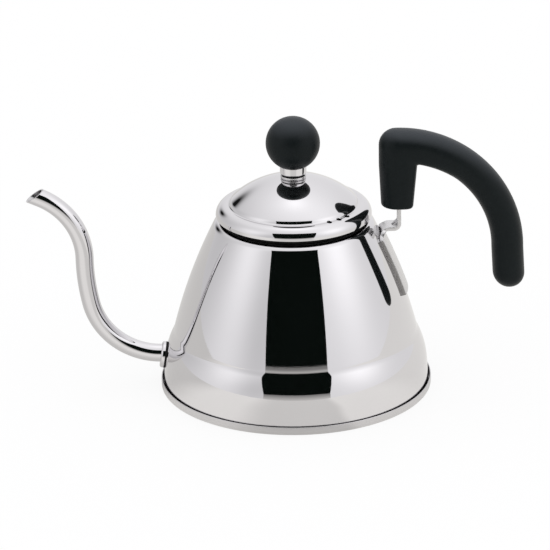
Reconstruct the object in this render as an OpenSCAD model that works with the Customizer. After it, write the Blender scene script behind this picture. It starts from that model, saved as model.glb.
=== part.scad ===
// Stainless gooseneck drip kettle with a lift-off lid and a hooked grip.
// The origin is on the body's axis in the plane it stands on. The spout points to -X, the grip to +X.

/* [Body] */
// Radius of the base rim, the widest part of the body
base_r = 77.5; // [76:0.1:79]
// Height of the rolled base rim
base_rim_h = 4.7; // [4.2:0.1:5.5]
// Height at which the upright belt starts to round over
belt_top_z = 18.6; // [17:0.2:20]
// Inner radius of the mouth's neck, which guides the lid
neck_r = 37.5; // [37.3:0.1:38]
// Thickness of the body's sheet
wall_t = 0.8; // [0.6:0.1:1]

/* [Spout] */
// Outer diameter of the spout tube
spout_d = 10.3; // [9:0.1:11]
// Thickness of the spout tube's wall
spout_t = 0.8; // [0.6:0.1:1]
// Height of the spout's axis at its inner end
spout_z = 18.9; // [18:0.1:21]
// Bend radius of the lower sweep
spout_low_r = 40.5; // [38:0.5:44]
// Bend radius of the slender middle stretch
spout_mid_r = 126.6; // [110:0.2:150]
// Bend radius of the pouring end
spout_top_r = 40.4; // [38:0.2:43]
// Slope of the cut that opens the pouring end
lip_slope = 35; // [30:1:40]

/* [Handle] */
// Radius of the grip's arch, on its centre line
arch_r = 62.3; // [60:0.1:65]
// Thickness of the grip across the arch
grip_w = 18.1; // [17:0.1:19]
// Depth of the grip, front to back
grip_d = 21.6; // [20:0.1:23]
// Thickness of the bracket's strip
strip_t = 2.1; // [1.8:0.1:2.3]
// Width of the bracket where it runs into the grip
strip_w = 12.4; // [12:0.1:14]
// Width of the bracket's plate at its lower end
plate_w = 27.6; // [24:0.2:30]
// Height of the lower end of the bracket's plate
plate_low_z = 57; // [54:0.5:60]

/* [Lid] */
// Outer radius of the lid
lid_r = 44.2; // [44:0.1:45]
// Height of the lid's outer edge at its widest
lid_edge_z = 103.1; // [102.6:0.1:103.6]
// Radius of the rounded edge of the lid
lid_edge_r = 6.3; // [6:0.1:6.6]
// Height of the top of the lid's dome
dome_top = 125.1; // [124.6:0.1:125.6]
// Spherical radius of the lid's dome
dome_r = 53.4; // [52.6:0.1:54]
// Thickness of the lid's sheet
lid_t = 0.7; // [0.6:0.1:0.8]
// Diameter of each steam hole
steam_d = 3; // [2:0.1:3.2]

/* [Knob] */
// Diameter of the knob's ball
ball_d = 30.6; // [28:0.1:34]
// Height of the centre of the ball
ball_z = 145; // [144:0.5:147]

/* [Hidden] */
$fn = 96;
steel = "#d8d8da";
satin = "#b9b8b8";
phenolic = "#1b1f1f";
brass = "#c9a557";
gap = 0.03;              // running clearance round a screw or tube, on the radius

// ---- profiles -------------------------------------------------------------
// points of an arc about (cx, cz), from angle a to angle b
function arc(cx, cz, r, a, b, n = 8) =
    [for (i = [0 : n]) let (t = a + (b - a) * i / n) [cx + r * cos(t), cz + r * sin(t)]];
function reversed(p) = [for (i = [len(p) - 1 : -1 : 0]) p[i]];

// a closed solid through a row of rings with the same number of points
module skin(rings) {
    m = len(rings);
    n = len(rings[0]);
    polyhedron(points = [for (ring = rings) each ring], faces = concat(
        [[for (j = [0 : n - 1]) j]],
        [for (i = [0 : m - 2], j = [0 : n - 1]) let (k = (j + 1) % n)
            [i * n + j, (i + 1) * n + j, (i + 1) * n + k, i * n + k]],
        [[for (j = [n - 1 : -1 : 0]) (m - 1) * n + j]]));
}

// The wall's slope is the angle of its outward normal above the horizontal.
belt_a = 5.6;            // slope of the belt
shoulder_a = 28.4;       // steepest slope on the shoulder over the belt
waist_a = 13.2;          // slope at the waist above the shoulder
cone_a = 14.8;           // slope at the foot of the cone
rim_a = 26.6;            // slope where the cone meets the top rim
belt_r = base_r - 2.93;  // wall radius at the top of the belt
shoulder_r = 30;         // convex radius of the shoulder
waist_r = 21;            // concave radius of the waist
foot_r = 30;             // convex radius between the waist and the cone
cone_r = 316.6;          // radius of the cone's gentle crown
rim_r = 5.3;             // radius of the top rim
lip_r = 2;               // radius that turns the rim down into the neck
neck_low_z = 91;         // lower edge of the neck

// centres of the wall's arcs, each tangent to the one before
c1 = [belt_r - shoulder_r * cos(belt_a), belt_top_z - shoulder_r * sin(belt_a)];
c2 = c1 + (shoulder_r + waist_r) * [cos(shoulder_a), sin(shoulder_a)];
c3 = c2 - (waist_r + foot_r) * [cos(waist_a), sin(waist_a)];
c4 = c3 - (cone_r - foot_r) * [cos(cone_a), sin(cone_a)];
c5 = c4 + (cone_r - rim_r) * [cos(rim_a), sin(rim_a)];
rim_top = c5[1] + rim_r;
c6 = [neck_r + lip_r, rim_top - lip_r];
// radius of the belt line at height z
function belt_at(z) = belt_r + (belt_top_z - z) * tan(belt_a);

// the wall from the belt to the rim, moved inward by t
function wall_line(t) = concat(
    arc(c1[0], c1[1], shoulder_r - t, belt_a, shoulder_a, 6),
    arc(c2[0], c2[1], waist_r + t, 180 + shoulder_a, 180 + waist_a, 5),
    arc(c3[0], c3[1], foot_r - t, waist_a, cone_a, 2),
    arc(c4[0], c4[1], cone_r - t, cone_a, rim_a, 12),
    arc(c5[0], c5[1], rim_r - t, rim_a, 90, 7));
// the neck that turns down from the rim, moved by t
function neck_line(t) = concat(arc(c6[0], c6[1], lip_r - t, 90, 180, 5), [[neck_r + t, neck_low_z]]);

flange_z = 1.7;          // underside of the body's outward flange
flange_r = base_r - 0.8; // edge of the flange, inside the rolled rim
pan_t = 0.8;             // thickness of the pan's sheet

// the solid enclosed by the wall
module outside() {
    rotate_extrude($fn = 180) polygon(concat([[0, flange_z], [belt_at(flange_z), flange_z]], wall_line(0),
        [[0, rim_top]]));
}

module body_shell() {
    line_out = concat([[flange_r, flange_z], [flange_r, flange_z + wall_t],
        [belt_at(flange_z + wall_t), flange_z + wall_t]], wall_line(0));
    line_in = concat([[belt_at(flange_z) - wall_t, flange_z]], wall_line(wall_t));
    color(steel) difference() {
        rotate_extrude($fn = 180) polygon(concat(line_out, reversed(line_in)));
        spout_root(spout_d / 2 + gap);
    }
}

// the neck is welded edge to edge on the body's top rim and carries the lid
module mouth_ring() {
    color(steel) rotate_extrude($fn = 180) polygon(concat([[c5[0], rim_top]], neck_line(0),
        reversed(neck_line(wall_t)), [[c5[0], rim_top - wall_t]]));
}

module base_pan() {
    groove_r = 70;       // inner edge of the raised ring inside the foot
    lift = 0.9;          // height of the raised ring
    top = flange_z + wall_t;
    floor_z = 3.2;       // bottom of the open groove between the rim's lip and the wall
    hem_t = 0.6;         // thickness of the lip
    leaf = 0.15;         // seam left between the rolled hem and the wall
    color(satin) rotate_extrude($fn = 180) polygon(concat(
        [[0, 0], [groove_r - 1, 0], [groove_r, lift], [base_r - 3.2, lift], [base_r - 2.4, 0]],
        arc(base_r - 0.8, 0.8, 0.8, -90, 0, 4),
        arc(base_r - hem_t / 2, base_rim_h - hem_t / 2, hem_t / 2, 0, 180, 6),
        [[base_r - hem_t, floor_z], [belt_at(floor_z) + leaf, floor_z], [belt_at(top) + leaf, top],
         [flange_r, top], [flange_r, flange_z], [groove_r - 0.6, flange_z], [groove_r - 1.6, pan_t],
         [0, pan_t]]));
}

// ---- spout ----------------------------------------------------------------
// The tube's axis is three arcs in the plane y = 0. Angles are headings above -X.
spout_x = -72;           // inner end of the axis
head_in = -7;            // heading at the inner end
head_low = 78;           // heading where the lower sweep ends
head_mid = 90.3;         // heading where the middle stretch ends
head_tip = 24;           // heading of the straight pouring end
function side(a) = [sin(a), cos(a)];   // unit normal of a heading, towards the upper side
s1 = [spout_x, spout_z] + spout_low_r * side(head_in);
s2 = s1 + (spout_mid_r - spout_low_r) * side(head_low);
s3 = s2 - (spout_mid_r + spout_top_r) * side(head_mid);
tip_l = 14;              // length of the straight pouring end before it is cut
lip = [-151, 112.9];     // tip of the pouring lip

// stations along the axis: [x, z, heading]
function stations(c, big, from, to, n) =
    [for (i = [0 : n]) let (a = from + (to - from) * i / n) [c[0] - big * sin(a), c[1] - big * cos(a), a]];
function spout_axis(n) = concat(
    stations(s1, spout_low_r, head_in, head_low, n),
    [for (q = stations(s2, spout_mid_r, head_low, head_mid, 3)) if (q[2] > head_low) q],
    [for (q = stations(s3, -spout_top_r, head_mid, head_tip, n - 3)) if (q[2] < head_mid) q]);
// a ring of radius r round the axis, moved along it by m
function spout_ring(q, r, m, n = 32) = [for (j = [0 : n - 1]) let (t = j * 360 / n, a = q[2])
    [q[0] - m * cos(a) + r * cos(t) * sin(a), r * sin(t), q[1] + m * sin(a) + r * cos(t) * cos(a)]];
// the tube's outer form or its bore, longer by more at the inner end
module spout_rod(r, more) {
    axis = spout_axis(15);
    last = axis[len(axis) - 1];
    skin(concat([spout_ring(axis[0], r, -more)], [for (q = axis) if (q[2] != head_in) spout_ring(q, r, 0)],
        [spout_ring(last, r, tip_l)]));
}

// a round passage along the first bend, where the tube runs through the wall
module spout_root(r) {
    from = head_in - 6;
    to = head_in + 14;
    translate([s1[0], 0, s1[1]]) rotate([90, 0, 0]) rotate([0, 0, 270 - to])
        rotate_extrude(angle = to - from, $fn = 120) translate([spout_low_r, 0]) circle(r, $fn = 64);
}

module spout_tube() {
    color(steel) difference() {
        spout_rod(spout_d / 2, 0);
        spout_rod(spout_d / 2 - spout_t, 1);
        translate([lip[0], 0, lip[1]]) rotate([0, -lip_slope, 0]) translate([-20, -15, 0]) cube([60, 30, 25]);
    }
}

module spout_collar() {
    middle = [-74.6, 0, 17.4];
    collar_r = 7.6;      // outer radius of the ring
    collar_t = 2.7;      // how far it stands off the wall
    tilt = 7.5;          // lean of the wall behind it
    edge = 1.3;          // rounding of its edge
    color(steel) difference() {
        translate(middle) rotate([0, -90 + tilt, 0]) rotate_extrude()
            polygon(concat([[0, -2], [collar_r, -2], [collar_r, collar_t - edge]],
                arc(collar_r - edge, collar_t - edge, edge, 0, 90, 5), [[0, collar_t]]));
        outside();
        spout_root(spout_d / 2 + gap);
    }
}

// ---- handle ---------------------------------------------------------------
arch_x = 58.7;           // the arch turns about this line
arch_z = 81;
leg_low_z = 107.3;       // lower end of the leg
leg_top_z = 131;         // where the leg meets the arch
tang_x = 58.4;           // inner face of the upright tang
strip_z = 95.5;          // upper face of the bracket's level part
tang_top_z = 131;        // upper end of the tang, inside the grip
screw_z = 117.5;         // height of the grip's screw
screw_r = 2;             // M4 screw

// The bracket's plate lies on the cone, its fold leaves the wall on a tangent and ends level.
fold_r = 2.5;            // inner radius of the fold at the wall
turn_r = 2;              // inner radius of the upward turn
fold_z = strip_z - strip_t - fold_r;
fold_a = asin((fold_z - c4[1]) / (cone_r + strip_t + fold_r));   // slope where the fold leaves the wall
fold = c4 + (cone_r + strip_t + fold_r) * [cos(fold_a), sin(fold_a)];
turn = [tang_x - turn_r, strip_z + turn_r];
plate_a = 18;            // the plate's section starts at this slope and is cut at plate_low_z
// one face of the plate and the fold, s above the wall
function plate_line(s) = concat(arc(c4[0], c4[1], cone_r + s, plate_a, fold_a, 10),
    arc(fold[0], fold[1], fold_r + strip_t - s, 180 + fold_a, 90, 8), [[turn[0], strip_z - s]]);
// half the bracket's outline seen along X: [half-width, height]
half_outline = [[plate_w / 2 - 1, plate_low_z], [plate_w / 2, plate_low_z + 1], [12.1, 86], [11.8, 89.5],
    [10, 91.4], [7.8, 92.7], [strip_w / 2, 93.8], [strip_w / 2, strip_z + 1]];
// the level part, the turn and the tang in the plane y = 0
level_x = turn[0] - 2;
strip_line = concat([[level_x, strip_z - strip_t]], arc(turn[0], turn[1], turn_r + strip_t, 270, 360, 8),
    [[tang_x + strip_t, tang_top_z], [tang_x, tang_top_z]],
    reversed(arc(turn[0], turn[1], turn_r, 270, 360, 6)), [[level_x, strip_z]]);

module handle_bracket() {
    rib_r = 2.2;         // radius of the pressed rib in the turn
    rib_l = 3.4;         // its length along the level part, before the tang
    rib_in = rib_r * sin(45);
    color(steel) difference() {
        union() {
            intersection() {
                rotate([0, 0, -20]) rotate_extrude(angle = 40, $fn = 180)
                    polygon(concat(plate_line(0), reversed(plate_line(strip_t))));
                translate([30, 0, 0]) rotate([90, 0, 90]) linear_extrude(50)
                    polygon(concat(half_outline, [for (p = reversed(half_outline)) [-p[0], p[1]]]));
            }
            translate([0, strip_w / 2, 0]) rotate([90, 0, 0]) linear_extrude(strip_w) polygon(strip_line);
            intersection() {
                translate([tang_x - rib_l + rib_in, 0, strip_z - rib_in]) rotate([0, 45, 0])
                    translate([0, 0, -3]) cylinder(r = rib_r, h = 10, $fn = 64);
                translate([tang_x - 5, -4, strip_z - 0.8]) cube([5.8, 8, 6]);
            }
        }
        translate([tang_x - 1, 0, screw_z]) rotate([0, 90, 0]) cylinder(r = screw_r + 0.15, h = 5, $fn = 40);
    }
}

// The grip is lofted through rings that stand across its path. Each ring runs from an inner point,
// on the finger side, to an outer one, and is a superellipse: square is its exponent on the inner side.
end_z = 65.8;            // where the free end starts to round off
lean = 0.8;              // outward lean of the free end
arch_a = 76.4;           // angle of the arch where the leg's corner starts
crook_r = 1.2;           // fillet radius in the inner corner
corner_r = 9.5;          // radius of the outer corner
leg_x = 48.2;            // outer face of the leg at the top
in_r = arch_r - grip_w / 2;
out_r = arch_r + grip_w / 2;
arch_c = [arch_x, arch_z];
crook = arch_c + (in_r - crook_r) * ray(arch_a);
corner = [leg_x + corner_r, arch_z + out_r - corner_r];
function ray(a) = [cos(a), sin(a)];
function bulge(v, e) = sign(v) * pow(abs(v), 2 / e);
function grip_ring(inner, outer, d, square = 2.1, n = 36) = [for (j = [0 : n - 1])
    let (t = j * 360 / n, e = cos(t) < 0 ? square : 2.1,
        p = (inner + outer) / 2 + (outer - inner) / 2 * bulge(cos(t), e))
    [p[0], d / 2 * bulge(sin(t), e), p[1]]];
// distance from p along the ray at angle a to the far side of a circle
function reach(p, a, c, r) = let (m = p - c, b = m * ray(a)) sqrt(b * b - m * m + r * r) - b;
// distance from the crook to the grip's outer line at angle a
function corner_reach(a) = let (flat = (crook[0] - leg_x) / max(0.01, -cos(a)))
    a > 90 && crook[1] + flat * sin(a) < corner[1] ? flat
    : let (r = reach(crook, a, corner, corner_r)) crook[0] + r * cos(a) < corner[0] && r > 0 ? r
    : reach(crook, a, arch_c, out_r);
// the leg's rings: k runs from 0 at its lower end to 1 at the crook, inset rounds its lower edge
leg_in = [67.5, crook[0] - crook_r];    // inner face at both ends
leg_out = [49.4, leg_x];                // outer face at both ends
function leg_ring(k, inset) = let (z = leg_low_z + k * (crook[1] - leg_low_z))
    grip_ring([leg_in[0] + k * (leg_in[1] - leg_in[0]) - inset / 2, z],
        [leg_out[0] + k * (leg_out[1] - leg_out[0]) + inset, z], grip_d - 1.6 * (1 - k) - 2 * inset, 4);
function tail_ring(z, s) = let (m = [arch_x + arch_r + lean * (arch_z - z) / (arch_z - end_z), z])
    grip_ring(m - [grip_w / 2 * s, 0], m + [grip_w / 2 * s, 0], grip_d * s);

module grip() {
    color(phenolic) difference() {
        skin(concat(
            [for (q = [[0, 1.2], [0.015, 0.5], [0.04, 0.05], [0.08, 0], [0.35, 0], [0.65, 0], [0.95, 0]])
                leg_ring(q[0], q[1])],
            [for (a = [178 : -8.4 : arch_a + 4]) grip_ring(crook + crook_r * ray(a),
                crook + corner_reach(a) * ray(a), grip_d, 4)],
            [for (i = [0 : 12]) let (a = arch_a * (1 - i / 12)) grip_ring(arch_c + in_r * ray(a),
                arch_c + out_r * ray(a), grip_d, max(2.1, 4 - 0.5 * i))],
            [tail_ring((arch_z + end_z) / 2, 1)],
            [for (t = [0 : 15 : 75]) tail_ring(end_z - grip_w / 2 * sin(t), cos(t))],
            [tail_ring(end_z - grip_w / 2, 0.06)]));
        translate([tang_x - 0.05, -strip_w / 2 - 0.05, leg_low_z - 1])
            cube([strip_t + 0.1, strip_w + 0.1, tang_top_z + 1.5 - leg_low_z]);
        translate([insert_x, 0, screw_z]) rotate([0, 90, 0])
            cylinder(r = insert_r, h = tang_x - insert_x, $fn = 40);
        translate([tang_x, 0, screw_z]) rotate([0, 90, 0]) cylinder(r = screw_r + 0.15, h = 15, $fn = 40);
        translate([head_x - 1, 0, screw_z]) rotate([0, 90, 0]) cylinder(r = 4.2, h = 12, $fn = 48);
    }
}

insert_x = 51.5;         // outer end of the grip's threaded insert
insert_r = 3.2;
head_x = 65.6;           // underside of the grip screw's head

// an M4 pan-head screw along +Z, with the underside of its head at z = 0 and the head below
module pan_screw(l) {
    head = 2.6;
    difference() {
        rotate_extrude($fn = 48) polygon(concat([[0, l], [screw_r - 0.5, l], [screw_r, l - 0.6]],
            [[screw_r, 0], [3.8, 0]], reversed(arc(1.9, -0.7, 1.9, -90, 0, 5)), [[0, -head]]));
        for (a = [0, 90]) rotate([0, 0, a]) translate([-2.2, -0.45, -head - 1]) cube([4.4, 0.9, 2.6]);
    }
}

// a split spring washer of thickness t
module split_washer(t) {
    rotate([0, 0, 8]) rotate_extrude(angle = 344, $fn = 64) translate([screw_r + 0.15, 0]) square([1.5, t]);
}

module grip_screw() {
    color(steel) translate([head_x, 0, screw_z]) rotate([0, -90, 0]) pan_screw(13);
}

module grip_spring_washer() {
    color(steel) translate([head_x, 0, screw_z]) rotate([0, -90, 0]) split_washer(1);
}

module grip_insert() {
    color(brass) translate([insert_x, 0, screw_z]) rotate([0, 90, 0]) difference() {
        cylinder(r = insert_r, h = tang_x - insert_x - 0.05, $fn = 40);
        translate([0, 0, 0.8]) cylinder(r = screw_r + gap, h = 10, $fn = 40);
    }
}

// ---- lid ------------------------------------------------------------------
dome_z = dome_top - dome_r;
hollow_r = 1.2;          // concave radius of the groove round the dome
dome_foot_r = 4.5;       // convex radius of the dome's foot
crown_a = 94;            // slope where the groove runs into the lid's edge
crown = [lid_r - lid_edge_r, lid_edge_z];
hollow = crown + (hollow_r + lid_edge_r) * ray(crown_a);
// The foot's centre is where its arc touches both the dome and the groove.
hollow_far = norm(hollow - [0, dome_z]);
foot_far = dome_r - dome_foot_r;
foot_gap = dome_foot_r + hollow_r;
dome_a = atan2(hollow[1] - dome_z, hollow[0])
    + acos((pow(hollow_far, 2) + pow(foot_far, 2) - pow(foot_gap, 2)) / (2 * hollow_far * foot_far));
foot = [0, dome_z] + foot_far * ray(dome_a);
groove_a = atan2(hollow[1] - foot[1], hollow[0] - foot[0]);   // slope where the foot meets the groove
seat_r = 8.2;            // radius of the flat under the knob
seat_a = acos(seat_r / dome_r);
seat_z = dome_z + dome_r * sin(seat_a);
steam_r = 37.8;          // the steam holes lie on this radius
steam_at = [-58.8, -48.6, -38.6];

// the lid from the knob's seat to its edge, moved inward by t
function lid_line(t) = concat(
    [[screw_r + 0.2, seat_z - t]],
    arc(0, dome_z, dome_r - t, seat_a, dome_a, 14),
    arc(foot[0], foot[1], dome_foot_r - t, dome_a, groove_a, 6),
    arc(hollow[0], hollow[1], hollow_r + t, 180 + groove_a, 180 + crown_a, 6),
    arc(crown[0], crown[1], lid_edge_r - t, crown_a, -4, 13));

module lid_shell() {
    color(steel) difference() {
        rotate_extrude($fn = 180) polygon(concat(lid_line(0), reversed(lid_line(lid_t))));
        for (a = steam_at) rotate([0, 0, a]) translate([steam_r, 0, lid_edge_z])
            cylinder(d = steam_d, h = 10, $fn = 32);
    }
}

// stepped ring: a skirt that drops into the neck, a step that sits on the rim, a wall up to the lid
module lid_collar() {
    play = 0.6;          // play between the skirt and the neck
    skirt_r = neck_r - play;
    skirt_low = neck_low_z - 1;
    wall_r = neck_r + 2.8;
    edge_in = lid_edge_r - lid_t;
    weld_z = lid_edge_z + sqrt(pow(edge_in, 2) - pow(wall_r - lid_r + lid_edge_r, 2));
    color(steel) rotate_extrude($fn = 180) polygon([[skirt_r, skirt_low], [skirt_r, rim_top],
        [wall_r, rim_top], [wall_r, weld_z], [wall_r - lid_t, weld_z], [wall_r - lid_t, rim_top + lid_t],
        [skirt_r - lid_t, rim_top + lid_t], [skirt_r - lid_t, skirt_low]]);
}

// ---- knob -----------------------------------------------------------------
spacer_r = 7.3;
spacer_top = 126.3;
ferrule_r = 7.5;
ferrule_z = 127.4;       // lower edge of the ferrule's full width
ball_low = 131.7;        // flat under the ball
knob_insert_r = 4;
knob_insert_top = 146;
washer_t = 0.8;
spring_t = 1;
knob_head_z = seat_z - lid_t - washer_t - spring_t;

module knob_ball() {
    color(phenolic) difference() {
        translate([0, 0, ball_z]) sphere(d = ball_d, $fn = 96);
        translate([-20, -20, ball_low - 20]) cube([40, 40, 20]);
        translate([0, 0, ball_low - 1])
            cylinder(r = knob_insert_r, h = knob_insert_top - ball_low + 1, $fn = 48);
    }
}

module knob_insert() {
    color(brass) difference() {
        translate([0, 0, ball_low]) cylinder(r = knob_insert_r, h = knob_insert_top - ball_low, $fn = 48);
        translate([0, 0, ball_low - 1]) cylinder(r = screw_r + gap, h = 12, $fn = 40);
    }
}

module knob_ferrule() {
    edge = 0.5;
    color(steel) rotate_extrude() polygon([[screw_r + 0.2, spacer_top], [ferrule_r - 1.2, spacer_top],
        [ferrule_r - 1.2, ferrule_z], [ferrule_r - edge, ferrule_z], [ferrule_r, ferrule_z + edge],
        [ferrule_r, ball_low], [screw_r + 0.2, ball_low]]);
}

module knob_spacer() {
    edge = 1;
    color(steel) rotate_extrude() polygon(concat([[screw_r + 0.2, seat_z]],
        arc(spacer_r - edge, seat_z + edge, edge, -90, 0, 5),
        [[spacer_r, spacer_top], [screw_r + 0.2, spacer_top]]));
}

module knob_screw() {
    color(steel) translate([0, 0, knob_head_z]) pan_screw(18);
}

module knob_spring_washer() {
    color(steel) translate([0, 0, knob_head_z]) split_washer(spring_t);
}

module knob_flat_washer() {
    color(steel) translate([0, 0, knob_head_z + spring_t]) difference() {
        cylinder(r = 5, h = washer_t, $fn = 64);
        translate([0, 0, -1]) cylinder(r = screw_r + 0.2, h = 3, $fn = 40);
    }
}

body_shell();
mouth_ring();
base_pan();
spout_tube();
spout_collar();
handle_bracket();
grip();
grip_screw();
grip_spring_washer();
grip_insert();
lid_shell();
lid_collar();
knob_ball();
knob_insert();
knob_ferrule();
knob_spacer();
knob_screw();
knob_spring_washer();
knob_flat_washer();
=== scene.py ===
import bpy
import bmesh
from math import acos, asin, atan2, ceil, cos, degrees, radians, sin, sqrt, tan
from mathutils import Matrix, Vector


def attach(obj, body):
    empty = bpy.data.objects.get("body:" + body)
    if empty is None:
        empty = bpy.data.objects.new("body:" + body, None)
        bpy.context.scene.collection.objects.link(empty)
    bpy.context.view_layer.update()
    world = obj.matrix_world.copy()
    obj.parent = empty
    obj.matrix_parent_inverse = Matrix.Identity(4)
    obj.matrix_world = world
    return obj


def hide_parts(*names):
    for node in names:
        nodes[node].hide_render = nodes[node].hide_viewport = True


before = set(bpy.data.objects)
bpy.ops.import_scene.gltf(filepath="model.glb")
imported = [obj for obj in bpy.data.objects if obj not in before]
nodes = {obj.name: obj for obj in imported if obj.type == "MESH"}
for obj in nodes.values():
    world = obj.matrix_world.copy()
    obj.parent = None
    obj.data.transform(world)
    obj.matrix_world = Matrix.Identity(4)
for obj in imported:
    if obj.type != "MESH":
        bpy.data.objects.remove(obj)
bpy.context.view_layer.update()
mm = 0.001
print("frame loaded", len(nodes), "nodes")


# lengths below are in millimetres, angles in degrees
def sinD(angle):
    return sin(radians(angle))


def cosD(angle):
    return cos(radians(angle))


def ray(angle):
    return Vector((cosD(angle), sinD(angle)))


def arc(centre, radius, start, end, step=5.0):
    count = max(2, ceil(abs(end - start) / step))
    return [Vector(centre) + radius * ray(start + (end - start) * i / count) for i in range(count + 1)]


def spread(start, end, count):
    return [start + (end - start) * i / count for i in range(count + 1)]


def makeObject(name, data):
    made = bpy.data.objects.new(name, data)
    bpy.context.scene.collection.objects.link(made)
    return made


# points in mm
def makeMesh(name, points, faces, crease=32):
    mesh = bpy.data.meshes.new(name)
    mesh.from_pydata([Vector(point) * mm for point in points], [], faces)
    made = makeObject(name, mesh)
    finishMesh(made, crease)
    return made


# normals outward, smooth, with the edges sharper than the crease kept
def finishMesh(made, crease=32):
    work = bmesh.new()
    work.from_mesh(made.data)
    bmesh.ops.remove_doubles(work, verts=work.verts, dist=1e-7)
    bmesh.ops.recalc_face_normals(work, faces=work.faces)
    for face in work.faces:
        face.smooth = True
    work.to_mesh(made.data)
    work.free()
    made.data.set_sharp_from_angle(angle=radians(crease))


# a closed outline of (radius, height) turned about Z; a point on the axis becomes a pole
def lathe(name, outline, turns=192, crease=32):
    points, rows, faces = [], [], []
    angles = [360 * j / turns for j in range(turns)]
    for radius, z in outline:
        if radius < 1e-6:
            rows.append([len(points)] * turns)
            points.append((0, 0, z))
        else:
            rows.append(list(range(len(points), len(points) + turns)))
            points += [(radius * cosD(angle), radius * sinD(angle), z) for angle in angles]
    for i, row in enumerate(rows):
        after = rows[(i + 1) % len(rows)]
        if row[0] == row[1] and after[0] == after[1]:
            continue
        for j in range(turns):
            k = (j + 1) % turns
            corners = [row[j], row[k], after[k], after[j]]
            faces.append([corner for n, corner in enumerate(corners) if corner not in corners[:n]])
    return makeMesh(name, points, faces, crease)


# a skin over rings with the same number of points, capped at both ends unless it closes on itself
def skin(name, rings, closed=False, crease=32):
    count = len(rings[0])
    points = [point for ring in rings for point in ring]
    faces = []
    for i in range(len(rings) if closed else len(rings) - 1):
        here = i * count
        after = (i + 1) % len(rings) * count
        for j in range(count):
            k = (j + 1) % count
            faces.append([here + j, after + j, after + k, here + k])
    if not closed:
        faces.append(list(range(count)))
        faces.append([(len(rings) - 1) * count + j for j in reversed(range(count))])
    return makeMesh(name, points, faces, crease)


# cuts the other object away from the piece, or joins or meets it, and removes it
def combine(piece, other, operation="DIFFERENCE", crease=32):
    bpy.context.view_layer.update()
    modifier = piece.modifiers.new("combine", "BOOLEAN")
    modifier.object = other
    modifier.operation = operation
    modifier.solver = "EXACT"
    graph = bpy.context.evaluated_depsgraph_get()
    fresh = bpy.data.meshes.new_from_object(piece.evaluated_get(graph))
    piece.modifiers.clear()
    old = piece.data
    piece.data = fresh
    bpy.data.meshes.remove(old)
    finishMesh(piece, crease)
    bpy.data.objects.remove(other)


def rod(name, start, direction, radius, length, turns=48):
    made = lathe(name, [(0, 0), (radius, 0), (radius, length), (0, length)], turns)
    turn = Vector(direction).to_track_quat("Z", "Y").to_matrix().to_4x4()
    made.data.transform(Matrix.Translation(Vector(start) * mm) @ turn)
    return made


def block(name, low, high):
    points = [(x, y, z) for x in (low[0], high[0]) for y in (low[1], high[1]) for z in (low[2], high[2])]
    faces = [(0, 1, 3, 2), (4, 6, 7, 5), (0, 4, 5, 1), (2, 3, 7, 6), (0, 2, 6, 4), (1, 5, 7, 3)]
    return makeMesh(name, points, faces)


# a socket that takes part in sums
class Tap:
    def __init__(self, graph, socket):
        self.graph = graph
        self.socket = socket

    def math(self, operation, *others):
        return self.graph.math(operation, self, *others)

    def __add__(self, other):
        return self.math("ADD", other)

    def __sub__(self, other):
        return self.math("SUBTRACT", other)

    def __mul__(self, other):
        return self.math("MULTIPLY", other)

    def __truediv__(self, other):
        return self.math("DIVIDE", other)

    def __radd__(self, other):
        return self.graph.math("ADD", other, self)

    def __rsub__(self, other):
        return self.graph.math("SUBTRACT", other, self)

    def __rmul__(self, other):
        return self.graph.math("MULTIPLY", other, self)

    def __pow__(self, power):
        return self.math("POWER", power)

    def atLeast(self, value):
        return self.math("MAXIMUM", value)

    def between(self, low, high):
        return self.graph.node("ShaderNodeMapRange", {"interpolation_type": "SMOOTHSTEP"},
                               {"Value": self, "From Min": low, "From Max": high})


class Graph:
    def __init__(self, tree):
        self.tree = tree
        tree.nodes.clear()

    def feed(self, socket, value):
        if isinstance(value, Tap):
            self.tree.links.new(value.socket, socket)
        else:
            socket.default_value = value

    # any node: its type, its settings, then its sockets by name or number
    def node(self, kind, settings=None, sockets=None, output=0):
        made = self.tree.nodes.new(kind)
        for key, value in (settings or {}).items():
            setattr(made, key, value)
        for key, value in (sockets or {}).items():
            self.feed(made.inputs[key], value)
        return Tap(self, made.outputs[output]) if made.outputs else made

    def math(self, operation, *values):
        return self.node("ShaderNodeMath", {"operation": operation}, dict(enumerate(values)))

    def vector(self, operation, *values, output=0):
        return self.node("ShaderNodeVectorMath", {"operation": operation}, dict(enumerate(values)), output)

    def mix(self, factor, first, second):
        return self.node("ShaderNodeMix", {"data_type": "RGBA"}, {0: factor, 6: first, 7: second}, 2)

    def place(self):
        return self.node("ShaderNodeTexCoord", output=3)

    def parts(self, vector):
        made = self.tree.nodes.new("ShaderNodeSeparateXYZ")
        self.feed(made.inputs[0], vector)
        return [Tap(self, made.outputs[i]) for i in range(3)]

    def noise(self, place, scale, detail=3.0, rough=0.5):
        sockets = {"Vector": place, "Scale": scale, "Detail": detail, "Roughness": rough}
        return self.node("ShaderNodeTexNoise", {}, sockets)

    def stretched(self, place, factors):
        return self.vector("MULTIPLY", place, factors)

    def bump(self, height, strength, distance):
        return self.node("ShaderNodeBump", {}, {"Height": height, "Strength": strength, "Distance": distance})

    def lightPath(self, output):
        return self.node("ShaderNodeLightPath", output=output)

    def glowing(self, color):
        return self.node("ShaderNodeEmission", {}, {"Color": color, "Strength": 1.0})

    def diffuse(self, color):
        return self.node("ShaderNodeBsdfDiffuse", {}, {"Color": color})


# a material whose surface is the shader that the given function makes
def shaderMaterial(name, build):
    material = bpy.data.materials.new(name)
    material.use_nodes = True
    graph = Graph(material.node_tree)
    graph.node("ShaderNodeOutputMaterial", {}, {"Surface": build(graph)})
    return material


# the given function gives the Principled sockets
def makeMaterial(name, build):
    return shaderMaterial(name, lambda graph: graph.node("ShaderNodeBsdfPrincipled", {}, build(graph)))


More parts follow.
